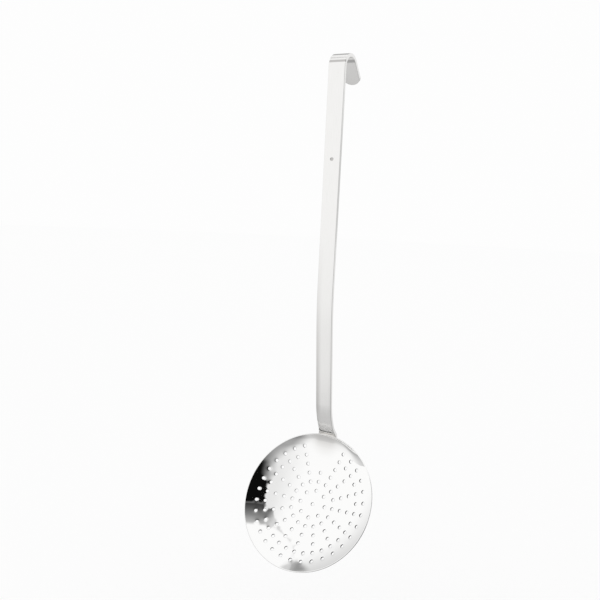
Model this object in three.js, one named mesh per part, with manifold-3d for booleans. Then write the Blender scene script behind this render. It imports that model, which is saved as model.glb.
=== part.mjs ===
// A kitchen skimmer: a shallow perforated dish, spot-welded to the foot of a flat strip handle
// whose top is bent back into a hook. Millimetres, +Z up. It hangs from a rail at the origin,
// with the hollow of the dish facing -Y and the hook bent towards +Y.
import * as THREE from 'three';
import { mergeGeometries, mergeVertices } from 'three/addons/utils/BufferGeometryUtils.js';
import Module from 'manifold-3d';

const wasm = await Module();
wasm.setup();

// Dish, a spherical cap pressed from sheet
const DISH_DIAMETER = 120; // across the rim
const DISH_DEPTH = 14.5; // inside, from the rim down to the bottom
const DISH_SHEET = 1.2; // sheet thickness
const DISH_TILT = 32.2; // degrees between the plane of the rim and the straight shank

// Holes, on rings whose radii are measured along the sheet
const HOLE_DIAMETER = 3;
const FIRST_RING_RADIUS = 12;
const RING_SPACING = 8;
const HOLES_PER_RING = [8, 16, 16, 16, 32, 32];

// Handle, one bent strip
const STRIP_WIDTH = 15.3; // at the hook, from where it tapers
const NECK_WIDTH = 14.4; // at the lower end of the taper
const STRIP_THICKNESS = 3;
const STRIP_CHAMFER = 0.3; // along the strip's long edges
const HOOK_INNER_RADIUS = 9; // bears on the rail
const HOOK_SPLAY = 37; // degrees between the hook's leg and the shank
const HOOK_LEG_LENGTH = 20; // straight, after the bend
const HOOK_TIP_ROUND = 6; // length over which the tip is rounded off
const SHANK_LENGTH = 180; // straight, below the hook
const KNEE_LENGTH = 40; // gently bent back, below the shank
const KNEE_ANGLE = 5.5; // degrees
const LOWER_LENGTH = 66.6; // straight, below the knee
const BOW_LENGTH = 30; // bent further back, above the crease
const BOW_ANGLE = 28; // degrees
const CREASE_RADIUS = 2; // inside the crease, where the strip turns down again
const CREASE_LEAD = 0.2; // straight, from the crease to the rim
const FOOT_LENGTH = 29; // along the underside of the dish, from the rim
const FOOT_WIDTH = 20;
const FLARE_ABOVE = 10; // above the rim, where the strip begins to widen
const FLARE_BELOW = 8; // below the rim, where it has the foot's width

// Round punch mark on the front of the shank
const MARK_DIAMETER = 3.2;
const MARK_DEPTH = 0.3;
const MARK_BELOW_HOOK = 75; // from the top of the shank

// Spot welds between the foot and the dish
const WELD_DIAMETER = 5;
const WELD_COUNT = 3;
const WELD_SPACING = 8;
const WELD_PENETRATION = 0.5; // share of each sheet's thickness that the pocket takes
const JOINT_GAP = 0.3; // between pieces that bear on each other

// Fineness of the curved faces
const DISH_SEGMENTS = 48;
const DISH_RINGS = 5;
const RIM_STEPS = 3;
const HOLE_SIDES = 8;
const ROUND_SIDES = 16;

// Sizes that follow from those above
const rimRadius = (DISH_DIAMETER - DISH_SHEET) / 2; // to the middle of the rounded edge
const middleRadius = (rimRadius ** 2 + DISH_DEPTH ** 2) / (2 * DISH_DEPTH); // of the sheet's sphere
const innerRadius = middleRadius - DISH_SHEET / 2;
const outerRadius = middleRadius + DISH_SHEET / 2;
const rimAngle = Math.asin(rimRadius / middleRadius); // from the dish's axis, at the sphere's centre
const tilt = THREE.MathUtils.degToRad(DISH_TILT);
const footFront = outerRadius + JOINT_GAP; // sphere radius that the foot's front face follows
const footMiddle = footFront + STRIP_THICKNESS / 2;

// A geometry with its shared vertices joined, as a solid that can be cut
function toSolid(geometry) {
  const bare = geometry.clone();
  bare.deleteAttribute('normal');
  bare.deleteAttribute('uv');
  const merged = mergeVertices(bare, 1e-4);
  const corners = merged.index.array;
  const triangles = [];
  for (let i = 0; i < corners.length; i += 3) {
    const [a, b, c] = corners.subarray(i, i + 3);
    if (a !== b && b !== c && c !== a) triangles.push(a, b, c);
  }
  return new wasm.Manifold(new wasm.Mesh({
    numProp: 3,
    vertProperties: merged.attributes.position.array,
    triVerts: new Uint32Array(triangles),
  }));
}

function toGeometry(solid) {
  const mesh = solid.getMesh();
  const geometry = new THREE.BufferGeometry();
  geometry.setAttribute('position', new THREE.BufferAttribute(mesh.vertProperties, 3));
  geometry.setIndex(new THREE.BufferAttribute(mesh.triVerts, 1));
  geometry.computeVertexNormals();
  return geometry;
}

// A cylinder through the sheet along a radius of the dish's sphere, between two sphere radii
function radialCylinder(direction, from, to, diameter, sides) {
  const cylinder = new THREE.CylinderGeometry(diameter / 2, diameter / 2, to - from, sides);
  cylinder.translate(0, (from + to) / 2, 0);
  const turn = new THREE.Quaternion().setFromUnitVectors(new THREE.Vector3(0, 1, 0), direction);
  return cylinder.applyQuaternion(turn);
}

// Direction from the sphere's centre to a place on the dish, given by its distance from the
// bottom along the sheet and its angle round from the handle
function dishDirection(alongSheet, round) {
  const polar = alongSheet / middleRadius;
  return new THREE.Vector3(
    Math.sin(polar) * Math.sin(round),
    Math.sin(polar) * Math.cos(round),
    -Math.cos(polar),
  );
}

// Places of the welds along the foot, centred on its length, as distances along the sheet
const rimAlongSheet = rimAngle * middleRadius;
const weldPlaces = Array.from({ length: WELD_COUNT }, (_, i) =>
  rimAlongSheet - FOOT_LENGTH / 2 + (i - (WELD_COUNT - 1) / 2) * WELD_SPACING);

// The pocket that a weld fuses, half in the dish's sheet and half in the foot
const pocketFrom = outerRadius - DISH_SHEET * WELD_PENETRATION;
const pocketTo = footFront + STRIP_THICKNESS * WELD_PENETRATION;
function weldPocket(place) {
  const direction = dishDirection(place, 0);
  return radialCylinder(direction, pocketFrom, pocketTo, WELD_DIAMETER + 2 * JOINT_GAP, ROUND_SIDES);
}

// No hole is punched where the foot lies
function underFoot(alongSheet, round) {
  const sideways = Math.abs(alongSheet * Math.sin(round));
  const towardsRim = alongSheet * Math.cos(round);
  const besideFoot = sideways > (FOOT_WIDTH + HOLE_DIAMETER) / 2;
  const beforeFoot = towardsRim < rimAlongSheet - FOOT_LENGTH - HOLE_DIAMETER / 2;
  return !besideFoot && !beforeFoot;
}

function holeDirections() {
  const directions = [dishDirection(0, 0)];
  HOLES_PER_RING.forEach((count, ring) => {
    const alongSheet = FIRST_RING_RADIUS + ring * RING_SPACING;
    for (let i = 0; i < count; i += 1) {
      const round = (2 * Math.PI * i) / count;
      if (!underFoot(alongSheet, round)) directions.push(dishDirection(alongSheet, round));
    }
  });
  return directions;
}

// The dish about +Z, hollow side up, with the sphere's centre at the origin and the handle at +Y
function dishGeometry() {
  const profile = [];
  const arc = (radius, fromAngle, toAngle, steps) => {
    for (let i = 0; i <= steps; i += 1) {
      const angle = fromAngle + ((toAngle - fromAngle) * i) / steps;
      profile.push(new THREE.Vector2(radius * Math.sin(angle), -radius * Math.cos(angle)));
    }
  };
  arc(outerRadius, 0, rimAngle, DISH_RINGS);
  for (let i = 1; i < RIM_STEPS; i += 1) {
    const turn = rimAngle - Math.PI / 2 + (Math.PI * i) / RIM_STEPS;
    const edgeX = rimRadius + (DISH_SHEET / 2) * Math.cos(turn);
    const edgeY = -middleRadius * Math.cos(rimAngle) + (DISH_SHEET / 2) * Math.sin(turn);
    profile.push(new THREE.Vector2(edgeX, edgeY));
  }
  arc(innerRadius, rimAngle, 0, DISH_RINGS);
  const sheet = new THREE.LatheGeometry(profile, DISH_SEGMENTS).rotateX(Math.PI / 2);
  const cutFrom = innerRadius - DISH_SHEET;
  const cutTo = outerRadius + DISH_SHEET;
  const holes = holeDirections().map((direction) =>
    radialCylinder(direction, cutFrom, cutTo, HOLE_DIAMETER, HOLE_SIDES));
  const pockets = weldPlaces.map(weldPocket);
  return toGeometry(toSolid(sheet).subtract(toSolid(mergeGeometries([...holes, ...pockets]))));
}

// Follows a bent line in the YZ plane. A heading of 0 runs down and 90 degrees runs back (+Y).
// Each run has a length, a turn in radians and the shares of its length where it is sampled.
function trace(start, startHeading, runs) {
  const stations = [{ ...start, heading: startHeading, along: 0 }];
  let { y, z } = start;
  let heading = startHeading;
  let along = 0;
  for (const { length, turn, shares } of runs) {
    for (const share of shares) {
      const angle = turn * share;
      const reach = length * share;
      const half = angle / 2;
      const chord = half === 0 ? reach : (reach * Math.sin(half)) / half;
      stations.push({
        y: y + chord * Math.sin(heading + half),
        z: z - chord * Math.cos(heading + half),
        heading: heading + angle,
        along: along + reach,
      });
    }
    ({ y, z, heading, along } = stations.at(-1));
  }
  return stations;
}

// Evenly spaced shares of a run, and shares that crowd towards a rounded end
const even = (count) => Array.from({ length: count }, (_, i) => (i + 1) / count);
const crowded = (count) => even(count).map((share) => Math.sin((share * Math.PI) / 2));

// Share of the strip's width left at a distance from an end that is rounded off
const TIP_FLAT = 0.2;
function roundedOff(fromEnd, roundLength) {
  const short = 1 - Math.min(fromEnd / roundLength, 1);
  return Math.max(Math.sqrt(1 - short ** 2), TIP_FLAT);
}

const hookBend = Math.PI - THREE.MathUtils.degToRad(HOOK_SPLAY);
const kneeTurn = THREE.MathUtils.degToRad(KNEE_ANGLE);
const bowTurn = THREE.MathUtils.degToRad(BOW_ANGLE);
const footHeading = rimAngle - tilt; // where the foot passes the rim
const creaseTurn = footHeading - kneeTurn - bowTurn;
const creaseLength = Math.abs(creaseTurn) * (CREASE_RADIUS + STRIP_THICKNESS / 2);
const footTurn = -FOOT_LENGTH / middleRadius;
const footReach = Math.abs(footTurn) * footMiddle;
const footRound = FOOT_WIDTH / 2;

const shankTop = { y: -HOOK_INNER_RADIUS - STRIP_THICKNESS / 2, z: -HOOK_INNER_RADIUS };
const hookStations = trace(shankTop, Math.PI, [
  { length: hookBend * (HOOK_INNER_RADIUS + STRIP_THICKNESS / 2), turn: -hookBend, shares: even(18) },
  { length: HOOK_LEG_LENGTH - HOOK_TIP_ROUND, turn: 0, shares: even(1) },
  { length: HOOK_TIP_ROUND, turn: 0, shares: crowded(6) },
]);
const shankStations = trace(shankTop, 0, [
  { length: SHANK_LENGTH, turn: 0, shares: even(1) },
  { length: KNEE_LENGTH, turn: kneeTurn, shares: even(4) },
  { length: LOWER_LENGTH, turn: 0, shares: even(1) },
  { length: BOW_LENGTH, turn: bowTurn, shares: even(12) },
  { length: creaseLength, turn: creaseTurn, shares: even(6) },
  { length: CREASE_LEAD, turn: 0, shares: even(1) },
  { length: footReach - footRound, turn: (footTurn * (footReach - footRound)) / footReach, shares: even(8) },
  { length: footRound, turn: (footTurn * footRound) / footReach, shares: crowded(7) },
]);
const hookEnd = hookStations.at(-1).along;
const footEnd = shankStations.at(-1).along;
const rimAlong = footEnd - footReach;

function hookHalfWidth(along) {
  return (STRIP_WIDTH / 2) * roundedOff(hookEnd - along, HOOK_TIP_ROUND);
}

function shankHalfWidth(along) {
  const taperEnd = rimAlong - FLARE_ABOVE;
  const tapered = THREE.MathUtils.lerp(STRIP_WIDTH, NECK_WIDTH, Math.min(along / taperEnd, 1));
  const flared = THREE.MathUtils.smoothstep(along, taperEnd, rimAlong + FLARE_BELOW);
  const width = THREE.MathUtils.lerp(tapered, FOOT_WIDTH, flared);
  return (width / 2) * roundedOff(footEnd - along, footRound);
}

// The strip's section, from its left edge round over the front face, with chamfered edges.
// Each corner is a place across the width and one through the thickness, front positive.
function sectionCorners(halfWidth) {
  const half = STRIP_THICKNESS / 2;
  const side = half - STRIP_CHAMFER;
  const face = halfWidth - STRIP_CHAMFER;
  return [
    [-halfWidth, -side], [-halfWidth, side], [-face, half], [face, half],
    [halfWidth, side], [halfWidth, -side], [face, -half], [-face, -half],
  ];
}

// Joins the sections at all stations, hook tip first, into one closed strip
function stripGeometry() {
  const upper = hookStations.slice(1).reverse().map(({ y, z, heading, along }) => ({
    y, z, frontY: Math.cos(heading), frontZ: Math.sin(heading), halfWidth: hookHalfWidth(along),
  }));
  const lower = shankStations.map(({ y, z, heading, along }) => ({
    y, z, frontY: -Math.cos(heading), frontZ: -Math.sin(heading), halfWidth: shankHalfWidth(along),
  }));
  const stations = [...upper, ...lower];
  const positions = [];
  for (const { y, z, frontY, frontZ, halfWidth } of stations) {
    for (const [across, through] of sectionCorners(halfWidth)) {
      positions.push(across, y + frontY * through, z + frontZ * through);
    }
  }
  const corners = sectionCorners(STRIP_WIDTH / 2).length;
  const triangles = [];
  for (let i = 0; i + 1 < stations.length; i += 1) {
    for (let k = 0; k < corners; k += 1) {
      const here = i * corners + k;
      const next = i * corners + ((k + 1) % corners);
      triangles.push(here, here + corners, next, next, here + corners, next + corners);
    }
  }
  const last = (stations.length - 1) * corners;
  for (let k = 1; k + 1 < corners; k += 1) {
    triangles.push(0, k, k + 1, last, last + k + 1, last + k);
  }
  const geometry = new THREE.BufferGeometry();
  geometry.setAttribute('position', new THREE.Float32BufferAttribute(positions, 3));
  geometry.setIndex(triangles);
  return geometry;
}

// The dish hangs where the foot passes under its rim: its sphere's centre lies straight
// in front of the foot there
const rimStation = shankStations.find(({ along }) => Math.abs(along - rimAlong) < 1e-6);
const dishGroup = new THREE.Group();
dishGroup.position.set(
  0,
  rimStation.y - Math.cos(footHeading) * footMiddle,
  rimStation.z - Math.sin(footHeading) * footMiddle,
);
dishGroup.rotation.x = Math.PI / 2 - tilt;
dishGroup.updateMatrix();

function handleGeometry() {
  const mark = new THREE.CylinderGeometry(MARK_DIAMETER / 2, MARK_DIAMETER / 2, 2 * MARK_DEPTH, ROUND_SIDES);
  mark.translate(0, shankTop.y - STRIP_THICKNESS / 2, shankTop.z - MARK_BELOW_HOOK);
  const pockets = weldPlaces.map((place) => weldPocket(place).applyMatrix4(dishGroup.matrix));
  return toGeometry(toSolid(stripGeometry()).subtract(toSolid(mergeGeometries([mark, ...pockets]))));
}

function weldGeometry(place) {
  const direction = dishDirection(place, 0);
  const from = pocketFrom + JOINT_GAP;
  const to = pocketTo - JOINT_GAP;
  return radialCylinder(direction, from, to, WELD_DIAMETER, ROUND_SIDES);
}

function namedMesh(name, geometry, material) {
  const mesh = new THREE.Mesh(geometry, material);
  mesh.name = name;
  return mesh;
}

const polishedSteel = new THREE.MeshStandardMaterial({ color: 0xe6e5e2, roughness: 0.12, metalness: 1 });
const satinSteel = new THREE.MeshStandardMaterial({ color: 0xdcdad6, roughness: 0.35, metalness: 1 });
const weldSteel = new THREE.MeshStandardMaterial({ color: 0xb4b2ae, roughness: 0.5, metalness: 1 });

dishGroup.add(namedMesh('perforated_dish', dishGeometry(), polishedSteel));
weldPlaces.forEach((place, i) => {
  dishGroup.add(namedMesh(`spot_weld_${i + 1}`, weldGeometry(place), weldSteel));
});

const skimmer = new THREE.Group();
skimmer.add(namedMesh('handle', handleGeometry(), satinSteel), dishGroup);

export default skimmer;
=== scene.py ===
"""Skimmer: a perforated steel dish on a strip handle. Both are blanks of sheet metal, so each mesh is laid
out flat with its rounded edges and then formed. Lengths are in millimetres until a mesh is made."""

import math

import bpy
from mathutils import Matrix, Vector, kdtree, noise
from mathutils.geometry import delaunay_2d_cdt


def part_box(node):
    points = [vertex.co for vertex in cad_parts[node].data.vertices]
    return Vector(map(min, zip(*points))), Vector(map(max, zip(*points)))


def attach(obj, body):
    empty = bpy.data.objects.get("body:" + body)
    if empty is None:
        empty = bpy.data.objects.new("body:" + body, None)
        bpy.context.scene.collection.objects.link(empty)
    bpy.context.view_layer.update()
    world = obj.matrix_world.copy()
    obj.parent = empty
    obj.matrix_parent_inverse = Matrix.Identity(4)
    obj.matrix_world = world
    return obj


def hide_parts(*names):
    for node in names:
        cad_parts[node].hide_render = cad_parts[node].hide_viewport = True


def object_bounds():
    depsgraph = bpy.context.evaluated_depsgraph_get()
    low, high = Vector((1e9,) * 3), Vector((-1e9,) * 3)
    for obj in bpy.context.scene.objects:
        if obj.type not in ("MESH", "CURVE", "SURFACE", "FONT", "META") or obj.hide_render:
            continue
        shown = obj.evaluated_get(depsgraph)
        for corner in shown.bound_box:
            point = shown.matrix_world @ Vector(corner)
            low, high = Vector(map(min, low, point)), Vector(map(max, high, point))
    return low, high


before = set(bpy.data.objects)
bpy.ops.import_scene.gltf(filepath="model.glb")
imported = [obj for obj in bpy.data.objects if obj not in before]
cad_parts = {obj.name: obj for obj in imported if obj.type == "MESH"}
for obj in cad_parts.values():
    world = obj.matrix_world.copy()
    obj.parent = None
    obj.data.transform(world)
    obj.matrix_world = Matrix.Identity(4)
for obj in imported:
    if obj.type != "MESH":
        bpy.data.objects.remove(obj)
cad_low, cad_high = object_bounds()
MM = 0.001

# Every surface stays this far inside the solids, whose round faces are faceted
FIT = 0.03

# Dish, a spherical cap
dish_low, dish_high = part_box("perforated_dish")
DISH_DIAMETER = (dish_high.x - dish_low.x) / MM
DISH_DEPTH = 14.5
DISH_SHEET = 1.2
DISH_TILT = math.radians(32.2)
RIM_TRIM = 0.1  # off the rim's radius, so that its round edge stays inside the faceted one
WAVE_HEIGHT = 0.045  # unevenness left by pressing
WAVE_LENGTH = 17
WAVE_SECTION = 0.5  # which section of the noise is taken

# Upturn of the hollow at the rim by the foot, too slight for the solids, so only shaded
UPTURN = 0.5  # slope at the rim
UPTURN_WIDTH = 9
UPTURN_DENT = 4  # it is this much wider in front of the foot
UPTURN_DENT_ENDS = (0.3, 0.6)  # shares of the foot's width, from its middle, where the dent fades out
UPTURN_ENDS = (-48, -12, 24, 48)  # degrees from the foot, between which it fades in and out

# Holes, on rings whose radii are measured along the sheet
HOLE_DIAMETER = 3
FIRST_RING_RADIUS = 12
RING_SPACING = 8
HOLES_PER_RING = [8, 16, 16, 16, 32, 32]
HOLE_EDGE = 0.14  # radius of the edge that the punch leaves
ROLL_OVER = 0.06  # the front dips by this much at each hole
ROLL_REACH = 0.6

# Handle, one strip. Places along it are counted from the top of the straight shank, negative in the hook.
STRIP_WIDTH = 15.3
NECK_WIDTH = 14.4
STRIP_THICKNESS = 3
STRIP_EDGE = 0.3
STRIP_ROLL = 0.16  # the front face falls off by this much at its long edges
STRIP_ROLL_WIDTH = 2.4
STRIP_ROLL_START = (-2, 6)  # places along the strip between which this begins
HOOK_INNER_RADIUS = 9
HOOK_SPLAY = math.radians(37)
HOOK_LEG_LENGTH = 20
HOOK_TIP_ROUND = 6
BEND_SHADE_LINE_PLACE = -4  # painted dark line across the front of the bend, standing in for a dark reflection where the bend starts
BEND_SHADE_LINE_HALF = 1.3  # half its width
BEND_SHADE_LINE_FULL = 0.4  # share of that half beyond which it gets fainter
SHANK_LENGTH = 180
KNEE_LENGTH = 40
KNEE_TURN = math.radians(5.5)
LOWER_LENGTH = 66.6
BOW_LENGTH = 30
BOW_TURN = math.radians(28)
CREASE_RADIUS = 2
CREASE_LEAD = 0.2
FOOT_LENGTH = 29
FOOT_WIDTH = 20
FLARE_ABOVE = 10  # above the rim, where the strip begins to widen
FLARE_BELOW = 8  # below it, where the strip has the foot's width
MARK_DIAMETER = 3.2
MARK_DEPTH = 0.28
MARK_HOLLOW = 0.75  # exponent of its section, below 1 for a flatter bottom
MARK_PLACE = 75
MARK_SHADE_FADE = (0.3, 0.6)  # shares of its diameter, from its middle, between which its painted shade fades

# Spot welds, in the gap between the dish and the foot
WELD_DIAMETER = 5
WELD_COUNT = 3
WELD_SPACING = 8
WELD_EDGE = 0.25  # share of a button's thickness that each of its rounded edges takes
WELD_DENT = 0.15  # left on the back of the foot by the electrode
WELD_DENT_EDGE = 0.9
JOINT_GAP = 0.3

# Fineness of the meshes. Rings of points are shares of a radius, and columns are distances from an edge.
EDGE_STEPS = 4  # in each quarter round of an edge
SMALL_EDGE_STEPS = 2  # the same at holes and welds
RIM_SIDES = 240
HOLE_SIDES = 24
HOLE_COLUMNS = (0.45, 1.1)
HOLE_COLUMN_SIDES = 18
DISH_SPACING = 1.7
STRIP_END_STEPS = 24
STRIP_COLUMNS = (0.3, 0.7, 1.2, 1.8)
STRIP_MIDDLE = range(-5, 6)  # places across the strip
STRIP_END_RINGS = (0.25, 0.5, 0.7, 0.84)
STRIP_END_SIDES = 12
MARK_RINGS = (0.3, 0.6, 0.85, 0.95, 1.0, 1.1, 1.4)
DENT_RINGS = (0.35, 0.64, 0.75, 0.87, 1.0, 1.15)
SPOT_SIDES = 28
SPOT_MARGIN = 0.2
WELD_SIDES = 36
WELD_RINGS = (0.3, 0.6, 0.85)
WELD_RING_SIDES = 24
FLOOR_SIDES = 96

# Finishes: linear colours, of which a noise mixes two, and ranges of roughness
NOISE_SPAN = (0.3, 0.7)  # most values of a noise lie between these
SMUDGE_SPAN = (0.35, 0.7)
FRONT_ONLY = (0.8, 1)  # of a blank's side, which is 1 on its front, 0 halfway and -1 on its back
FRONT_HALF = (0, 1)
POLISHED_COLOURS = ((0.95, 0.948, 0.942, 1), (0.985, 0.983, 0.978, 1))
POLISHED_ROUGHNESS = (0.02, 0.04)
# Painted shade on the dish's front just below the foot, where the handle shades it
FOOT_SHADE_ZONE = (5, 22)  # distances from the rim by the foot, between which the painted shade there fades
FOOT_SHADE_SHARE = 0.9
FOOT_SHADE_COLOUR = (0.78, 0.77, 0.755, 1)
# Hole walls: sheared steel, with its colour darkened nearly to black as painted shade inside the holes
SHEARED_SHADED_COLOURS = ((0.03, 0.029, 0.028, 1), (0.09, 0.087, 0.084, 1))
SHEARED_ROUGHNESS = (0.3, 0.5)
SATIN_COLOURS = ((0.87, 0.862, 0.848, 1), (0.915, 0.91, 0.9, 1))
SATIN_ROUGHNESS = (0.09, 0.13)
CLOUD_ROUGHNESS = 0.04  # added by soft clouds
TINT_RING = (2, 3, 4.8)  # distances from each electrode where its heat tint begins, is strongest and ends
TINT_SHARE = 0.6
TINT_COLOUR = (0.62, 0.48, 0.33, 1)
# Painted shade along the margins of the strip's front down its lower run, standing in for the darker
# reflections at its edges
SHADED_LEFT_MARGIN = (1.5, 7.2)  # places across the strip between which its left margin gets darker with painted shade
SHADED_RIGHT_MARGIN = (-7.8, -4)  # and between which its right margin ends
SHADED_RIGHT_MARGIN_SHARE = 0.3
MARGIN_SHADE_FROM = 0.7 * SHANK_LENGTH  # place along the strip where this begins
MARGIN_SHADE_BOW_SHARE = 0.2  # what is left of it in the lower half of the bow
MARGIN_SHADE_COLOUR = (0.56, 0.55, 0.54, 1)
# Painted shade in the punch mark's hollow and on the line across the bend
MARK_SHADE_COLOUR = (0.54, 0.53, 0.52, 1)
WELD_COLOURS = ((0.42, 0.4, 0.37, 1), (0.62, 0.6, 0.58, 1))
WELD_ROUGHNESS = (0.4, 0.6)

# Camera, fitted to the photograph
CAMERA_PLACE = Vector((299.92, -586.71, -118.14))
CAMERA_AZIMUTH = math.radians(29.387)
CAMERA_ELEVATION = math.radians(7.474)
CAMERA_ROLL = math.radians(2.785)
CAMERA_LENS = 46.083
CAMERA_SENSOR = 36

# Studio room. It is plain white except to metal, which sees its parts. Directions are in degrees as seen
# from the object, azimuth from its front to its right. Each pair of them is where a change begins and ends.
ROOM_WHITE = 0.985
FAR_LEFT = (-96, -88)  # azimuths where the left of the room begins

# Large light panel in front and on the left
PANEL_LEFT = (-96, -70)
PANEL_RIGHT = 14.5
PANEL_SOFTNESS = (7.0, 1.0)  # half the width of its right edge, low down and higher up
PANEL_SHARPER = (26, 32)  # elevations between which that edge gets sharper
PANEL_TOP = 60.5
PANEL_TOP_RIGHT = 47  # its top comes down to this at the right edge
PANEL_TOP_SLOPE = 0.38
PANEL_TOP_WAVES = 9  # and is uneven by this much
PANEL_DIM = (-18, 10)  # azimuths between which it gets dimmer
PANEL_DIM_TONE = 0.83
PANEL_SHADE = 0.46  # it is darker by this much below a slanted line
PANEL_SHADE_SLOPE = 0.83
PANEL_SHADE_START = 3.3  # elevation of that line in front
PANEL_SHADE_SOFTNESS = 7

# Unlit side on the right of the panel, with its tones by elevation, and the walls behind
UNLIT_LEFT = (-8, 8)
UNLIT_RIGHT = (45, 70)
UNLIT_TONES = [
    (-90, 0.2), (0, 0.3), (9, 0.3), (13, 0.2), (15.5, 0.17), (18, 0.004),
    (46.8, 0.004), (47.3, 0.13), (47.9, 0.13), (48.4, 0.04), (52, 0.1), (57, 0.24), (62, 0.5),
]
BACK_LEFT = (-145, -130)  # azimuths between which the left wall gets lighter
BACK_LEFT_TONES = (0.45, 0.7)
BACK_LEFT_TOP = (59, 61.5)  # elevations between which it gets lighter still
BACK_LEFT_TOP_TONE = 0.94
BACK_RIGHT = (110, 130)  # azimuths between which the right wall begins
BACK_RIGHT_TOP = (2, 11)  # elevations between which it gets lighter
BACK_RIGHT_TONES = (0.66, 0.92)

# Dark patch high up on the left, with slanted edges
PATCH_TONE = 0.31
PATCH_SIDE = (-32, -25)  # its right edge, of azimuth plus the slope times elevation
PATCH_SIDE_SLOPE = 0.8
PATCH_BASE = (100, 106)  # its lower edge, of elevation plus the slope times azimuth
PATCH_BASE_SLOPE = -0.58
PATCH_FADE = (57, 63)  # elevations between which it gets fainter
PATCH_FADE_SHARE = 0.45
PATCH_TOP = (64, 69)

# Ceiling, whose edge isn't level
CEILING_EDGE = (61.5, 64)
CEILING_FRONT = (-6, 14)  # azimuths in front, left of which its edge is lower
CEILING_DIP = 1.5
CEILING_LEFT = (-85, -60)  # azimuths on the left, between which it comes down from higher up
CEILING_LIFT = 6.5
CEILING_BACK = (105, 130)  # azimuths on both sides, between which it gets lower
CEILING_DROP = 10

# Floor of pale paper. To metal only, its colour holds painted shade: a pool of shade by distance from under
# the hook, and darker sides. Sides are shares of that distance that lie to the right of the object.
FLOOR_BELOW = 150  # under the lowest point of the dish
FLOOR_RADIUS = 9000
FLOOR_PAPER = (0.99, 0.996)
FLOOR_SHADE_TONES = [(150, 0.62), (300, 0.64), (450, 0.7), (600, 0.78), (740, 0.9), (1700, 0.97), (6000, 1)]
FLOOR_RIGHT = (-0.25, 0.05)  # sides between which it gets darker to the right
FLOOR_RIGHT_SHARE = 0.4
FLOOR_LEFT = (-0.9, -0.75)  # and to the left
FLOOR_LEFT_SHARE = 0.62
FLOOR_BEHIND = (0, 400)  # distances behind the object between which both sides get lighter again
FLOOR_NEAR = (120, 350)  # and distances from under the hook, up to which they stay lighter
FLOOR_LIT_SHARE = 0.85

# Sizes that follow from those above
rim_radius = (DISH_DIAMETER - DISH_SHEET) / 2
middle_radius = (rim_radius**2 + DISH_DEPTH**2) / (2 * DISH_DEPTH)
rim_angle = math.asin(rim_radius / middle_radius)
rim_along_sheet = rim_angle * middle_radius
foot_middle = middle_radius + DISH_SHEET / 2 + JOINT_GAP + STRIP_THICKNESS / 2

bend_middle = HOOK_INNER_RADIUS + STRIP_THICKNESS / 2
hook_bend = math.pi - HOOK_SPLAY
foot_heading = rim_angle - DISH_TILT
crease_turn = foot_heading - KNEE_TURN - BOW_TURN
crease_length = abs(crease_turn) * (CREASE_RADIUS + STRIP_THICKNESS / 2)
foot_turn = -FOOT_LENGTH / middle_radius
foot_reach = abs(foot_turn) * foot_middle

# The strip's middle line, as runs of (length, turn) up into the hook and down to the foot
SHANK_TOP = (-bend_middle, -HOOK_INNER_RADIUS)
HOOK_RUNS = [(hook_bend * bend_middle, -hook_bend), (HOOK_LEG_LENGTH, 0)]
SHANK_RUNS = [
    (SHANK_LENGTH, 0),
    (KNEE_LENGTH, KNEE_TURN),
    (LOWER_LENGTH, 0),
    (BOW_LENGTH, BOW_TURN),
    (crease_length, crease_turn),
    (CREASE_LEAD, 0),
    (foot_reach, foot_turn),
]
hook_end = -sum(length for length, _ in HOOK_RUNS)
foot_end = sum(length for length, _ in SHANK_RUNS)
rim_place = foot_end - foot_reach
bow_place = SHANK_LENGTH + KNEE_LENGTH + LOWER_LENGTH

# Places of the welds along the dish's sheet from its middle, and along the strip
weld_along_sheet = [
    rim_along_sheet - FOOT_LENGTH / 2 + (i - (WELD_COUNT - 1) / 2) * WELD_SPACING for i in range(WELD_COUNT)
]
weld_along_strip = [
    rim_place + (rim_along_sheet - along) * foot_middle / middle_radius for along in weld_along_sheet
]


def smooth(low, high, value):
    """0 below low, 1 above high, and an even rise between them."""
    share = min(max((value - low) / (high - low), 0), 1)
    return share * share * (3 - 2 * share)


def walk(start, heading, runs, distance):
    """Place and heading after a distance along the runs. Heading 0 is down, and a quarter turn is +Y."""
    y, z = start
    for length, turn in runs:
        reach = min(distance, length)
        angle = turn * reach / length
        half = angle / 2
        chord = reach * math.sin(half) / half if half else reach
        y += chord * math.sin(heading + half)
        z -= chord * math.cos(heading + half)
        heading += angle
        distance -= reach
        if distance <= 0:
            break
    return y, z, heading


def strip_place(across, along):
    """Middle of the strip's thickness at a place of its blank, with the directions there."""
    if along < 0:
        y, z, heading = walk(SHANK_TOP, math.pi, HOOK_RUNS, -along)
        heading -= math.pi
    else:
        y, z, heading = walk(SHANK_TOP, 0, SHANK_RUNS, along)
    down = Vector((0, math.sin(heading), -math.cos(heading)))
    front = Vector((0, -math.cos(heading), -math.sin(heading)))
    return Vector((-across, y, z)), Vector((-1, 0, 0)), down, front


# The dish's sphere lies straight in front of the foot where that passes the rim
dish_axis = Vector((0, -math.cos(DISH_TILT), math.sin(DISH_TILT)))
dish_up = Vector((0, math.sin(DISH_TILT), math.cos(DISH_TILT)))
dish_right = Vector((1, 0, 0))
rim_point, _, _, rim_front = strip_place(0, rim_place)
sphere_centre = rim_point + rim_front * foot_middle


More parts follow.
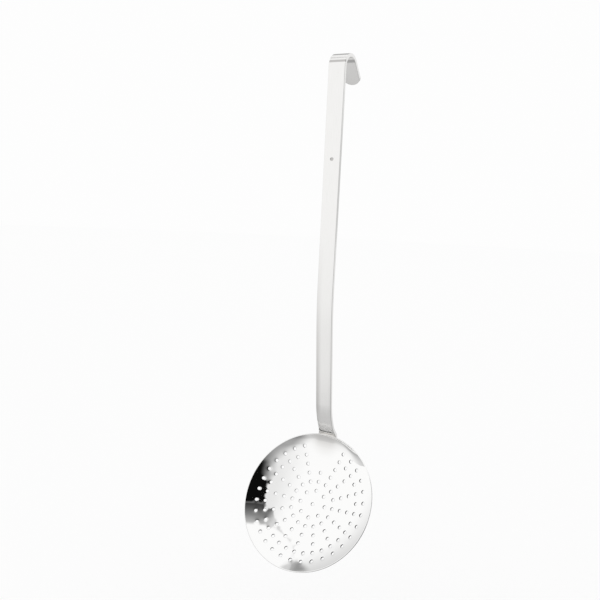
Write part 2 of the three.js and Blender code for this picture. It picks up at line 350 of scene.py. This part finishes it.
def dish_place(right, up):
    """Middle of the dish's thickness at a place of its blank, with the directions there."""
    polar = math.hypot(right, up) / middle_radius
    turn = math.atan2(right, up)
    radial = dish_right * math.sin(turn) + dish_up * math.cos(turn)
    around = dish_right * math.cos(turn) - dish_up * math.sin(turn)
    outwards = radial * math.cos(polar) + dish_axis * math.sin(polar)
    front = dish_axis * math.cos(polar) - radial * math.sin(polar)
    along_right = outwards * math.sin(turn) + around * math.cos(turn)
    along_up = outwards * math.cos(turn) - around * math.sin(turn)
    return sphere_centre - front * middle_radius, along_right, along_up, front


def weld_place(right, up):
    """Middle of the gap behind the dish."""
    middle, along_right, along_up, front = dish_place(right, up)
    return middle - front * (DISH_SHEET + JOINT_GAP) / 2, along_right, along_up, front


def circle_loop(p, q, radius, count, hole=False):
    """A round outline in a blank, as (p, q, direction out of the metal), with the metal on its left."""
    out = -1 if hole else 1
    loop = []
    for i in range(count):
        turn = out * 2 * math.pi * i / count
        away_p = math.cos(turn)
        away_q = math.sin(turn)
        loop.append((p + radius * away_p, q + radius * away_q, out * away_p, out * away_q))
    return loop


def circle_spots(p, q, radius, count):
    """Places round a circle in a blank."""
    return [spot[:2] for spot in circle_loop(p, q, radius, count)]


def edge_section(thickness, edge, count):
    """Section of a rounded edge from front to back, as (inset, height, share of front, share of out)."""
    turns = [math.pi / 2 * i / count for i in range(count + 1)]
    ahead = [
        (edge * (1 - math.sin(t)), thickness / 2 - edge * (1 - math.cos(t)), math.cos(t), math.sin(t))
        for t in turns
    ]
    full_round = math.isclose(edge, thickness / 2)
    mirrored = reversed(ahead[:-1] if full_round else ahead)
    return ahead + [(inset, -height, -front, out) for inset, height, front, out in mirrored]


def no_lean(p, q, side):
    return 0, 0


def formed_sheet(name, thickness, edges, fill, place, relief, lean=no_lean):
    """Mesh of a blank that place() forms. edges are (loop, section), the outside first and then the holes.
    fill are places inside. relief(p, q, side) is how far the front (1) or back (-1) stands proud there, and
    lean(p, q, side) are slopes added to its shading. The walls of holes take the second material."""
    points, normals, blank, faces, slots = [], [], [], [], []
    tiny = 0.02

    def add_point(point, normal, p, q, side):
        points.append(point)
        normals.append(normal.normalized())
        blank.append((p, q, side))

    def add_face_point(p, q, side):
        middle, along_p, along_q, front = place(p, q)
        slope_p = (relief(p + tiny, q, side) - relief(p - tiny, q, side)) / (2 * tiny)
        slope_q = (relief(p, q + tiny, side) - relief(p, q - tiny, side)) / (2 * tiny)
        lean_p, lean_q = lean(p, q, side)
        height = side * (thickness / 2 + relief(p, q, side))
        normal = front * side - along_p * (slope_p + lean_p) - along_q * (slope_q + lean_q)
        add_point(middle + front * height, normal, p, q, side)

    def add_edge_point(loop_p, loop_q, out_p, out_q, step, face_inset):
        inset, height, ahead, out = step
        side = (height > 0) - (height < 0)
        lift = relief(loop_p - out_p * face_inset, loop_q - out_q * face_inset, side)
        p = loop_p - out_p * inset
        q = loop_q - out_q * inset
        middle, along_p, along_q, front = place(p, q)
        normal = front * ahead + (along_p * out_p + along_q * out_q) * out
        add_point(middle + front * (height + side * lift), normal, p, q, side)

    flat, chains, front_index, back_index, owner = [], [], [], [], []
    for number, (loop, section) in enumerate(edges):
        first = len(points)
        count = len(loop)
        last = len(section) - 1
        face_inset = section[0][0]
        for k, step in enumerate(section):
            for p, q, out_p, out_q in loop:
                if k == 0 or k == last:
                    add_face_point(p - out_p * face_inset, q - out_q * face_inset, 1 if k == 0 else -1)
                else:
                    add_edge_point(p, q, out_p, out_q, step, face_inset)
        for k in range(last):
            for i in range(count):
                here = first + k * count + i
                beside = first + k * count + (i + 1) % count
                faces.append((here, here + count, beside + count, beside))
                slots.append(1 if number else 0)
        chains += [(len(flat) + i, len(flat) + (i + 1) % count) for i in range(count)]
        flat += [Vector(blank[first + i][:2]) for i in range(count)]
        front_index += range(first, first + count)
        back_index += range(first + last * count, first + (last + 1) * count)
        owner += [number] * count
    for side, index in ((1, front_index), (-1, back_index)):
        for p, q in fill:
            index.append(len(points))
            add_face_point(p, q, side)
    flat += [Vector(inside) for inside in fill]
    owner += [-1] * len(fill)

    inside_only = 1
    tolerance = 1e-6
    _, _, triangles, sources, _, _ = delaunay_2d_cdt(flat, chains, [], inside_only, tolerance)
    for triangle in triangles:
        corners = [sources[corner][0] for corner in triangle]
        owners = {owner[corner] for corner in corners}
        if len(owners) == 1 and owners.pop() > 0:
            continue  # this one is in a hole, because all its corners are on that hole's edge
        faces.append([front_index[corner] for corner in corners])
        faces.append([back_index[corner] for corner in reversed(corners)])
        slots += [0, 0]

    mesh = bpy.data.meshes.new(name)
    mesh.from_pydata([point * MM for point in points], [], faces)
    mesh.polygons.foreach_set("material_index", slots)
    mesh.shade_smooth()
    mesh.normals_split_custom_set_from_vertices(normals)
    layer = mesh.attributes.new("blank", "FLOAT_VECTOR", "POINT")
    layer.data.foreach_set("vector", [value for spot in blank for value in spot])
    return mesh


def add_piece(mesh, node, slot, *materials):
    piece = bpy.data.objects.new(mesh.name, mesh)
    bpy.context.scene.collection.objects.link(piece)
    for material in materials:
        mesh.materials.append(material)
    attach(piece, "root")
    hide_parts(node)


# Dish


def under_foot(along, turn):
    """No hole is punched where the foot lies."""
    beside = abs(along * math.sin(turn)) > (FOOT_WIDTH + HOLE_DIAMETER) / 2
    before = along * math.cos(turn) < rim_along_sheet - FOOT_LENGTH - HOLE_DIAMETER / 2
    return not beside and not before


def hole_places():
    places = [(0.0, 0.0)]
    for ring, count in enumerate(HOLES_PER_RING):
        along = FIRST_RING_RADIUS + ring * RING_SPACING
        turns = [2 * math.pi * i / count for i in range(count)]
        places += [(along * math.sin(t), along * math.cos(t)) for t in turns if not under_foot(along, t)]
    return places


def dish_mesh():
    sheet = DISH_SHEET - 2 * FIT
    holes = hole_places()
    tree = kdtree.KDTree(len(holes))
    for i, (p, q) in enumerate(holes):
        tree.insert((p, q, 0), i)
    tree.balance()

    def from_hole(p, q):
        return tree.find((p, q, 0))[2] - HOLE_DIAMETER / 2

    rim = rim_along_sheet + sheet / 2 - RIM_TRIM
    face_end = rim - sheet / 2

    def relief(p, q, side):
        dip = ROLL_OVER * math.exp(-max(from_hole(p, q), 0) / ROLL_REACH)
        wave = WAVE_HEIGHT * noise.noise(Vector((p / WAVE_LENGTH, q / WAVE_LENGTH, WAVE_SECTION)))
        return side * wave - dip

    def lean(p, q, side):
        along = math.hypot(p, q)
        dent_start, dent_end = (share * FOOT_WIDTH for share in UPTURN_DENT_ENDS)
        width = UPTURN_WIDTH + UPTURN_DENT * (1 - smooth(dent_start, dent_end, abs(p)))
        into_upturn = max(1 - (face_end - along) / width, 0)
        if not into_upturn:
            return 0, 0
        turn = math.degrees(math.atan2(p, q))
        starts, full, fades, ends = UPTURN_ENDS
        share = smooth(starts, full, turn) * (1 - smooth(fades, ends, turn))
        slope = side * UPTURN * into_upturn**2 * share
        return slope * p / along, slope * q / along

    edges = [(circle_loop(0, 0, rim, RIM_SIDES), edge_section(sheet, sheet / 2, EDGE_STEPS))]
    hole_section = edge_section(sheet, HOLE_EDGE, SMALL_EDGE_STEPS)
    edges += [(circle_loop(p, q, HOLE_DIAMETER / 2, HOLE_SIDES, True), hole_section) for p, q in holes]
    columns = [HOLE_EDGE + column for column in HOLE_COLUMNS]
    fill = []
    for p, q in holes:
        for column in columns:
            fill += circle_spots(p, q, HOLE_DIAMETER / 2 + column, HOLE_COLUMN_SIDES)
    for ring in range(1, int(rim / DISH_SPACING)):
        ring_spots = circle_spots(0, 0, ring * DISH_SPACING, round(2 * math.pi * ring))
        fill += [spot for spot in ring_spots if from_hole(*spot) > columns[-1] + DISH_SPACING / 3]
    return formed_sheet("dish", sheet, edges, fill, dish_place, relief, lean)


# Handle


def half_width(along):
    """The strip tapers down to its neck, and then widens to its foot."""
    taper_end = rim_place - FLARE_ABOVE
    tapered = STRIP_WIDTH + (NECK_WIDTH - STRIP_WIDTH) * min(max(along / taper_end, 0), 1)
    return (tapered + (FOOT_WIDTH - tapered) * smooth(taper_end, rim_place + FLARE_BELOW, along)) / 2 - FIT


def strip_rows():
    """Places along the strip where it is divided, close together where it bends."""
    rows = [hook_end + HOOK_TIP_ROUND]
    lengths_and_steps = [
        (HOOK_LEG_LENGTH - HOOK_TIP_ROUND, 2.8),
        (hook_bend * bend_middle, 0.8),
        (SHANK_LENGTH, 8),
        (KNEE_LENGTH, 4),
        (LOWER_LENGTH, 8),
        (BOW_LENGTH, 1.2),
        (crease_length, 0.25),
        (CREASE_LEAD, 0.3),
        (foot_reach - FOOT_WIDTH / 2, 1.6),
    ]
    for length, step in lengths_and_steps:
        count = round(length / step)
        start = rows[-1]
        rows += [start + length * (i + 1) / count for i in range(count)]
    return rows


def strip_loop(rows):
    """The strip's outline, round the hook's tip, down one side, round the foot's end and up the other."""
    half = STRIP_WIDTH / 2 - FIT
    tip = HOOK_TIP_ROUND - FIT
    foot = FOOT_WIDTH / 2 - FIT
    turns = [math.pi * i / STRIP_END_STEPS for i in range(STRIP_END_STEPS + 1)]
    loop = []

    def add(p, q, out_p, out_q):
        size = math.hypot(out_p, out_q)
        loop.append((p, q, out_p / size, out_q / size))

    def add_side(sign, places):
        tiny = 0.1
        for along in places:
            slope = (half_width(along + tiny) - half_width(along - tiny)) / (2 * tiny)
            add(sign * half_width(along), along, sign, -slope)

    for t in turns:
        across = -math.cos(t)
        beyond = -math.sin(t)
        add(half * across, rows[0] + tip * beyond, across / half, beyond / tip)
    add_side(1, rows[1:-1])
    for t in turns:
        add(foot * math.cos(t), rows[-1] + foot * math.sin(t), math.cos(t), math.sin(t))
    add_side(-1, rows[-2:0:-1])
    return loop


def strip_fill(rows):
    """Places inside the strip's outline, in columns along it, and in rings at its ends, mark and dents."""
    fill = []
    for along in rows:
        half = half_width(along) - STRIP_EDGE
        fill += [(sign * (half - column), along) for column in STRIP_COLUMNS for sign in (-1, 1)]
        fill += [(across, along) for across in STRIP_MIDDLE]
    ends = [
        (rows[0], STRIP_WIDTH / 2, -HOOK_TIP_ROUND),
        (rows[-1], FOOT_WIDTH / 2, FOOT_WIDTH / 2),
    ]
    turns = [math.pi * i / STRIP_END_SIDES for i in range(1, STRIP_END_SIDES)]
    for centre, half, beyond in ends:
        for share in STRIP_END_RINGS:
            fill += [(half * share * math.cos(t), centre + beyond * share * math.sin(t)) for t in turns]
    spots = [(MARK_PLACE, MARK_DIAMETER / 2, MARK_RINGS)]
    spots += [(along, WELD_DIAMETER / 2, DENT_RINGS) for along in weld_along_strip]
    for along, radius, rings in spots:
        clear = radius * rings[-1] + SPOT_MARGIN
        fill = [(p, q) for p, q in fill if math.hypot(p, q - along) > clear]
    for along, radius, rings in spots:
        fill.append((0, along))
        for share in rings:
            fill += circle_spots(0, along, radius * share, SPOT_SIDES)
    return fill


def handle_mesh():
    thickness = STRIP_THICKNESS - 2 * FIT
    rows = strip_rows()

    def relief(p, q, side):
        if side < 0:
            away = min(math.hypot(p, q - along) for along in weld_along_strip)
            return -WELD_DENT * smooth(WELD_DIAMETER / 2, WELD_DIAMETER / 2 - WELD_DENT_EDGE, away)
        from_edge = half_width(q) - abs(p)
        roll = max(1 - from_edge / STRIP_ROLL_WIDTH, 0) * smooth(*STRIP_ROLL_START, q)
        from_mark = math.hypot(p, q - MARK_PLACE) / (MARK_DIAMETER / 2)
        return -STRIP_ROLL * roll**2 - MARK_DEPTH * max(1 - from_mark**2, 0) ** MARK_HOLLOW

    edges = [(strip_loop(rows), edge_section(thickness, STRIP_EDGE, EDGE_STEPS))]
    return formed_sheet("handle_strip", thickness, edges, strip_fill(rows), strip_place, relief)


def weld_mesh(name, along):
    thickness = JOINT_GAP - 2 * FIT
    radius = WELD_DIAMETER / 2
    edge = WELD_EDGE * thickness

    def relief(p, q, side):
        return -edge * (math.hypot(p, q - along) / radius) ** 2

    section = edge_section(thickness, edge, SMALL_EDGE_STEPS)
    edges = [(circle_loop(0, along, radius, WELD_SIDES), section)]
    fill = [(0, along)]
    for share in WELD_RINGS:
        fill += circle_spots(0, along, share * radius, WELD_RING_SIDES)
    return formed_sheet(name, thickness, edges, fill, weld_place, relief)


# Nodes

RISE = (0.0, 1.0)
FALL = (1.0, 0.0)


def connect(tree, socket, value):
    if isinstance(value, bpy.types.NodeSocket):
        tree.links.new(value, socket)
    else:
        socket.default_value = value


def add_node(tree, kind, values, **settings):
    """A node with its settings, and with a value or another node's output at each input in values."""
    node = tree.nodes.new(kind)
    for key, value in settings.items():
        setattr(node, key, value)
    for key, value in values.items():
        connect(tree, node.inputs[key], value)
    return node


def add_math(tree, operation, *values):
    return add_node(tree, "ShaderNodeMath", dict(enumerate(values)), operation=operation).outputs[0]


def add_product(tree, first, *others):
    product = first
    for value in others:
        product = add_math(tree, "MULTIPLY", product, value)
    return product


def add_vector_math(tree, operation, output, *values):
    node = add_node(tree, "ShaderNodeVectorMath", dict(enumerate(values)), operation=operation)
    return node.outputs[output]


def add_range(tree, value, span, ends=RISE):
    """An even change from one of the ends to the other while value crosses the span."""
    low, high = span
    start, end = ends
    values = {"Value": value, "From Min": low, "From Max": high, "To Min": start, "To Max": end}
    return add_node(tree, "ShaderNodeMapRange", values, interpolation_type="SMOOTHSTEP").outputs["Result"]


def add_mix(tree, share, first, second):
    """A mix of two colours. Its sockets share their names with those for numbers, so they are counted."""
    values = {0: share, 6: first, 7: second}
    return add_node(tree, "ShaderNodeMix", values, data_type="RGBA").outputs[2]


def grey(value):
    return (value, value, value, 1)


def add_grey_ramp(tree, value, stops):
    """A ramp through greys at rising places from 0 to 1."""
    node = add_node(tree, "ShaderNodeValToRGB", {"Fac": value})
    elements = node.color_ramp.elements
    elements.remove(elements[-1])
    elements[0].position, elements[0].color = stops[0][0], grey(stops[0][1])
    for place, tone in stops[1:]:
        elements.new(place).color = grey(tone)
    return node.outputs["Color"]


def add_noise(tree, vector, scale, detail):
    """Noise over the blank, whose scale per millimetre differs by direction."""
    scaled = add_vector_math(tree, "MULTIPLY", "Vector", vector, scale)
    values = {"Vector": scaled, "Scale": 1.0, "Detail": detail}
    return add_node(tree, "ShaderNodeTexNoise", values).outputs["Fac"]


def add_bump(tree, shader, height, depth):
    bump = add_node(tree, "ShaderNodeBump", {"Strength": 1.0, "Distance": depth * MM, "Height": height})
    connect(tree, shader.inputs["Normal"], bump.outputs["Normal"])


# Materials


def metal(name):
    """A new metallic material, with its nodes, its shader and the place in the blank."""
    material = bpy.data.materials.new(name)
    material.use_nodes = True
    tree = material.node_tree
    shader = tree.nodes["Principled BSDF"]
    shader.inputs["Metallic"].default_value = 1
    blank = add_node(tree, "ShaderNodeAttribute", {}, attribute_name="blank").outputs["Vector"]
    return material, tree, shader, blank


def polished_steel():
    """Mirror finish, with faint marks round the dish's axis, soft smudges and painted shade on the dish
    below the foot.
    """
    material, tree, shader, blank = metal("polished_steel")
    flat = add_vector_math(tree, "MULTIPLY", "Vector", blank, (1, 1, 0))
    radius = add_vector_math(tree, "LENGTH", "Value", flat)
    values = {"W": radius, "Scale": 2.5, "Detail": 4.0}
    marks = add_node(tree, "ShaderNodeTexNoise", values, noise_dimensions="1D").outputs["Fac"]
    steel = add_mix(tree, add_range(tree, marks, NOISE_SPAN), *POLISHED_COLOURS)
    # Painted shade: the dish is darker near the foot, where the handle shades it
    from_foot = add_vector_math(tree, "DISTANCE", "Value", blank, (0, rim_along_sheet, 1))
    painted_foot_shade = add_range(tree, from_foot, FOOT_SHADE_ZONE, (FOOT_SHADE_SHARE, 0.0))
    connect(tree, shader.inputs["Base Color"], add_mix(tree, painted_foot_shade, steel, FOOT_SHADE_COLOUR))
    smudges = add_noise(tree, blank, scale=(0.06, 0.06, 1), detail=3.0)
    connect(tree, shader.inputs["Roughness"], add_range(tree, smudges, SMUDGE_SPAN, POLISHED_ROUGHNESS))
    add_bump(tree, shader, marks, depth=0.0003)
    return material


def sheared_shaded_steel():
    """Wall of a punched hole, torn through its thickness, with its colour darkened nearly to black as
    painted shade inside the hole.
    """
    material, tree, shader, blank = metal("sheared_shaded_steel")
    streaks = add_noise(tree, blank, scale=(9, 9, 0.4), detail=3.0)
    # Near-black colour is painted shade inside the hole; the streaks are the sheared finish
    connect(tree, shader.inputs["Base Color"], add_mix(tree, streaks, *SHEARED_SHADED_COLOURS))
    connect(tree, shader.inputs["Roughness"], add_range(tree, streaks, NOISE_SPAN, SHEARED_ROUGHNESS))
    add_bump(tree, shader, streaks, depth=0.02)
    return material


def add_heat_tint(tree, blank):
    """Share of the heat tint, in a ring where each electrode pressed on the foot's back."""
    begins, strongest, ends = TINT_RING
    places = [(0, along, -1) for along in weld_along_strip]
    distances = [add_vector_math(tree, "DISTANCE", "Value", blank, place) for place in places]
    nearest = distances[0]
    for distance in distances[1:]:
        nearest = add_math(tree, "MINIMUM", nearest, distance)
    inside = add_range(tree, nearest, (begins, strongest), (0.0, TINT_SHARE))
    return add_product(tree, inside, add_range(tree, nearest, (strongest, ends), FALL))


def add_margin_shade(tree, across, place, side):
    """Share of the painted shade along the margins of the strip's front, down its lower run."""
    right = add_range(tree, across, SHADED_RIGHT_MARGIN, (SHADED_RIGHT_MARGIN_SHARE, 0.0))
    margin = add_math(tree, "MAXIMUM", add_range(tree, across, SHADED_LEFT_MARGIN), right)
    down = add_range(tree, place, (MARGIN_SHADE_FROM, rim_place))
    bow = add_range(tree, place, (bow_place, bow_place + BOW_LENGTH / 2), (1.0, MARGIN_SHADE_BOW_SHARE))
    return add_product(tree, margin, add_range(tree, side, FRONT_ONLY), down, bow)


def add_mark_shade(tree, blank, place, side):
    """Share of the painted shade in the punch mark's hollow and in the dark line across the bend, on the
    strip's front.
    """
    from_mark = add_vector_math(tree, "DISTANCE", "Value", blank, (0, MARK_PLACE, 1))
    fade = [share * MARK_DIAMETER for share in MARK_SHADE_FADE]
    mark_shade = add_range(tree, from_mark, fade, FALL)
    from_line = add_math(tree, "ABSOLUTE", add_math(tree, "SUBTRACT", place, BEND_SHADE_LINE_PLACE))
    bend_shade = add_range(tree, from_line, (BEND_SHADE_LINE_FULL * BEND_SHADE_LINE_HALF, BEND_SHADE_LINE_HALF), FALL)
    return add_product(tree, add_math(tree, "MAXIMUM", bend_shade, mark_shade), add_range(tree, side, FRONT_HALF))


def satin_steel():
    """Brushed along the strip, with painted shade along its margins, in its mark and on its bend, and a
    faint heat tint.
    """
    material, tree, shader, blank = metal("satin_steel")
    across, place, side = add_node(tree, "ShaderNodeSeparateXYZ", {"Vector": blank}).outputs
    grain = add_noise(tree, blank, scale=(7, 0.08, 10), detail=3.0)
    clouds = add_noise(tree, blank, scale=(0.12, 0.05, 3), detail=2.0)
    steel = add_mix(tree, add_range(tree, grain, NOISE_SPAN), *SATIN_COLOURS)
    tinted = add_mix(tree, add_heat_tint(tree, blank), steel, TINT_COLOUR)
    # Painted shade along the margins of the strip's front
    margin_shaded = add_mix(tree, add_margin_shade(tree, across, place, side), tinted, MARGIN_SHADE_COLOUR)
    # Painted shade in the punch mark and across the bend
    mark_shaded = add_mix(tree, add_mark_shade(tree, blank, place, side), margin_shaded, MARK_SHADE_COLOUR)
    connect(tree, shader.inputs["Base Color"], mark_shaded)
    fine = add_range(tree, grain, NOISE_SPAN, SATIN_ROUGHNESS)
    connect(tree, shader.inputs["Roughness"], add_math(tree, "MULTIPLY_ADD", clouds, CLOUD_ROUGHNESS, fine))
    add_bump(tree, shader, grain, depth=0.0012)
    return material


def weld_steel():
    """Dull fused metal."""
    material, tree, shader, blank = metal("weld_steel")
    grains = add_noise(tree, blank, scale=(1.5, 1.5, 1.5), detail=5.0)
    connect(tree, shader.inputs["Base Color"], add_mix(tree, grains, *WELD_COLOURS))
    connect(tree, shader.inputs["Roughness"], add_range(tree, grains, NOISE_SPAN, WELD_ROUGHNESS))
    add_bump(tree, shader, grains, depth=0.03)
    return material


# Studio


def add_panel(tree, direction, azimuth, elevation):
    """Share of the light panel in a direction, and its tone there."""
    softness = add_range(tree, elevation, PANEL_SHARPER, PANEL_SOFTNESS)
    past_right = add_math(tree, "DIVIDE", add_math(tree, "SUBTRACT", azimuth, PANEL_RIGHT), softness)
    slope_start = PANEL_TOP_RIGHT + PANEL_TOP_SLOPE * PANEL_RIGHT
    slanted_top = add_math(tree, "MULTIPLY_ADD", azimuth, -PANEL_TOP_SLOPE, slope_start)
    top = add_math(tree, "MINIMUM", slanted_top, PANEL_TOP)
    waves = add_node(tree, "ShaderNodeTexNoise", {"Vector": direction, "Scale": 7.0}).outputs["Fac"]
    lowest = add_math(tree, "SUBTRACT", elevation, PANEL_TOP_WAVES / 2)
    wavy_elevation = add_math(tree, "MULTIPLY_ADD", waves, PANEL_TOP_WAVES, lowest)
    past_top = add_math(tree, "SUBTRACT", wavy_elevation, top)
    left_of_edge = add_range(tree, past_right, (-1, 1), FALL)
    under_top = add_range(tree, past_top, (-1, 1), FALL)
    share = add_product(tree, left_of_edge, under_top, add_range(tree, azimuth, PANEL_LEFT))

    bright = add_range(tree, azimuth, PANEL_DIM, (1.0, PANEL_DIM_TONE))
    raised = add_math(tree, "SUBTRACT", elevation, PANEL_SHADE_START)
    above_line = add_math(tree, "MULTIPLY_ADD", azimuth, -PANEL_SHADE_SLOPE, raised)
    shade_span = (-PANEL_SHADE_SOFTNESS, PANEL_SHADE_SOFTNESS)
    shade = add_range(tree, above_line, shade_span, (PANEL_SHADE, 0.0))
    return share, add_math(tree, "SUBTRACT", bright, shade)


def add_unlit_side(tree, azimuth, elevation):
    """Share of the unlit side in a direction, and its tone there."""
    past_left = add_range(tree, azimuth, UNLIT_LEFT)
    share = add_product(tree, past_left, add_range(tree, azimuth, UNLIT_RIGHT, FALL))
    height = add_math(tree, "MULTIPLY_ADD", elevation, 1 / 180, 0.5)
    stops = [((degrees + 90) / 180, tone) for degrees, tone in UNLIT_TONES]
    return share, add_grey_ramp(tree, height, stops)


def add_back(tree, azimuth, elevation):
    """Tone of the walls behind the object."""
    left_top = add_range(tree, elevation, BACK_LEFT_TOP, (0.0, BACK_LEFT_TOP_TONE))
    left = add_math(tree, "MAXIMUM", add_range(tree, azimuth, BACK_LEFT, BACK_LEFT_TONES), left_top)
    right = add_range(tree, elevation, BACK_RIGHT_TOP, BACK_RIGHT_TONES)
    return add_mix(tree, add_range(tree, azimuth, BACK_RIGHT), left, right)


def add_patch(tree, azimuth, elevation):
    """Share of the dark patch in a direction."""
    along_side = add_math(tree, "MULTIPLY_ADD", elevation, PATCH_SIDE_SLOPE, azimuth)
    along_base = add_math(tree, "MULTIPLY_ADD", azimuth, PATCH_BASE_SLOPE, elevation)
    return add_product(
        tree,
        add_range(tree, azimuth, FAR_LEFT),
        add_range(tree, along_side, PATCH_SIDE, FALL),
        add_range(tree, along_base, PATCH_BASE),
        add_range(tree, elevation, PATCH_FADE, (1.0, PATCH_FADE_SHARE)),
        add_range(tree, elevation, PATCH_TOP, FALL),
    )


def add_ceiling(tree, azimuth, elevation):
    """Share of the ceiling in a direction."""
    left = add_range(tree, azimuth, CEILING_LEFT, (-CEILING_LIFT, 0.0))
    lift = add_product(tree, add_range(tree, azimuth, FAR_LEFT), left)
    drop = add_range(tree, add_math(tree, "ABSOLUTE", azimuth), CEILING_BACK, (0.0, CEILING_DROP))
    dip = add_range(tree, azimuth, CEILING_FRONT, (CEILING_DIP, 0.0))
    lowered = add_math(tree, "ADD", dip, drop)
    above_edge = add_math(tree, "ADD", elevation, add_math(tree, "ADD", lift, lowered))
    return add_range(tree, above_edge, CEILING_EDGE)


def make_world():
    """A white room, in which metal sees the panel, the unlit side, the back, the patch and the ceiling."""
    world = bpy.data.worlds.new("studio")
    bpy.context.scene.world = world
    world.use_nodes = True
    world.cycles.sampling_method = "NONE"
    tree = world.node_tree
    direction = add_node(tree, "ShaderNodeTexCoord", {}).outputs["Generated"]
    x, y, z = add_node(tree, "ShaderNodeSeparateXYZ", {"Vector": direction}).outputs
    turn = add_math(tree, "ARCTAN2", x, add_math(tree, "MULTIPLY", y, -1.0))
    azimuth = add_math(tree, "DEGREES", turn)
    elevation = add_math(tree, "DEGREES", add_math(tree, "ARCSINE", z))

    on_panel, panel = add_panel(tree, direction, azimuth, elevation)
    on_unlit, unlit = add_unlit_side(tree, azimuth, elevation)
    surround = add_mix(tree, on_unlit, add_back(tree, azimuth, elevation), unlit)
    lit_walls = add_mix(tree, on_panel, surround, panel)
    walls = add_mix(tree, add_patch(tree, azimuth, elevation), lit_walls, grey(PATCH_TONE))
    room = add_mix(tree, add_ceiling(tree, azimuth, elevation), walls, grey(1))
    rays = add_node(tree, "ShaderNodeLightPath", {}).outputs
    seen = add_mix(tree, rays["Is Glossy Ray"], grey(ROOM_WHITE), room)
    connect(tree, tree.nodes["Background"].inputs["Color"], seen)


def add_floor_painted_shade(tree):
    """Painted shade on the floor as metal sees it: a pool of shade under the object and darker sides."""
    position = add_node(tree, "ShaderNodeNewGeometry", {}).outputs["Position"]
    place = add_vector_math(tree, "MULTIPLY", "Vector", position, (1 / MM, 1 / MM, 0))
    x, y, _ = add_node(tree, "ShaderNodeSeparateXYZ", {"Vector": place}).outputs
    away = add_vector_math(tree, "LENGTH", "Value", place)
    farthest = FLOOR_SHADE_TONES[-1][0]
    stops = [(distance / farthest, tone) for distance, tone in FLOOR_SHADE_TONES]
    tone = add_grey_ramp(tree, add_math(tree, "DIVIDE", away, farthest), stops)

    behind = add_range(tree, y, FLOOR_BEHIND, (0.0, FLOOR_LIT_SHARE))
    near = add_range(tree, away, FLOOR_NEAR, (FLOOR_LIT_SHARE, 0.0))
    lit = add_math(tree, "MAXIMUM", behind, near)
    aside = add_math(tree, "DIVIDE", x, away)
    right = add_range(tree, aside, FLOOR_RIGHT, (1.0, FLOOR_RIGHT_SHARE))
    left = add_range(tree, aside, FLOOR_LEFT, (FLOOR_LEFT_SHARE, 1.0))
    shares = [add_math(tree, "MAXIMUM", share, lit) for share in (right, left)]
    shaded = add_vector_math(tree, "SCALE", "Vector", tone)
    connect(tree, shaded.node.inputs["Scale"], add_product(tree, *shares))
    return shaded


def floor_paper():
    material = bpy.data.materials.new("floor_paper")
    material.use_nodes = True
    tree = material.node_tree
    shader = tree.nodes["Principled BSDF"]
    shader.inputs["Roughness"].default_value = 0.9
    shader.inputs["Specular IOR Level"].default_value = 0
    darker, lighter = FLOOR_PAPER
    mottle = add_node(tree, "ShaderNodeTexNoise", {"Scale": 6.0, "Detail": 2.0}).outputs["Fac"]
    paper = add_mix(tree, mottle, grey(darker), grey(lighter))
    rays = add_node(tree, "ShaderNodeLightPath", {}).outputs
    # Glossy rays see the floor's painted shade instead of its plain paper
    seen = add_mix(tree, rays["Is Glossy Ray"], paper, add_floor_painted_shade(tree))
    connect(tree, shader.inputs["Base Color"], seen)
    return material


def make_floor(height):
    mesh = bpy.data.meshes.new("floor")
    ring = circle_spots(0, 0, FLOOR_RADIUS, FLOOR_SIDES)
    mesh.from_pydata([(p * MM, q * MM, height * MM) for p, q in ring], [], [range(FLOOR_SIDES)])
    mesh.materials.append(floor_paper())
    floor = bpy.data.objects.new("floor", mesh)
    bpy.context.scene.collection.objects.link(floor)


def make_camera():
    data = bpy.data.cameras.new("camera")
    data.sensor_fit = "HORIZONTAL"
    data.sensor_width = CAMERA_SENSOR
    data.lens = CAMERA_LENS
    camera = bpy.data.objects.new("camera", data)
    azimuth = Matrix.Rotation(CAMERA_AZIMUTH, 4, "Z")
    elevation = Matrix.Rotation(math.pi / 2 - CAMERA_ELEVATION, 4, "X")
    roll = Matrix.Rotation(CAMERA_ROLL, 4, "Z")
    camera.matrix_world = Matrix.Translation(CAMERA_PLACE * MM) @ azimuth @ elevation @ roll
    bpy.context.scene.collection.objects.link(camera)
    bpy.context.scene.camera = camera


make_camera()
make_world()
make_floor(cad_low.z / MM - FLOOR_BELOW)
add_piece(dish_mesh(), "perforated_dish", "polished_steel", polished_steel(), sheared_shaded_steel())
add_piece(handle_mesh(), "handle", "satin_steel", satin_steel())
weld_finish = weld_steel()
for i, along in enumerate(weld_along_sheet):
    add_piece(weld_mesh(f"weld_{i + 1}", along), f"spot_weld_{i + 1}", "weld_steel", weld_finish)

bpy.context.scene.view_settings.view_transform = "Standard"
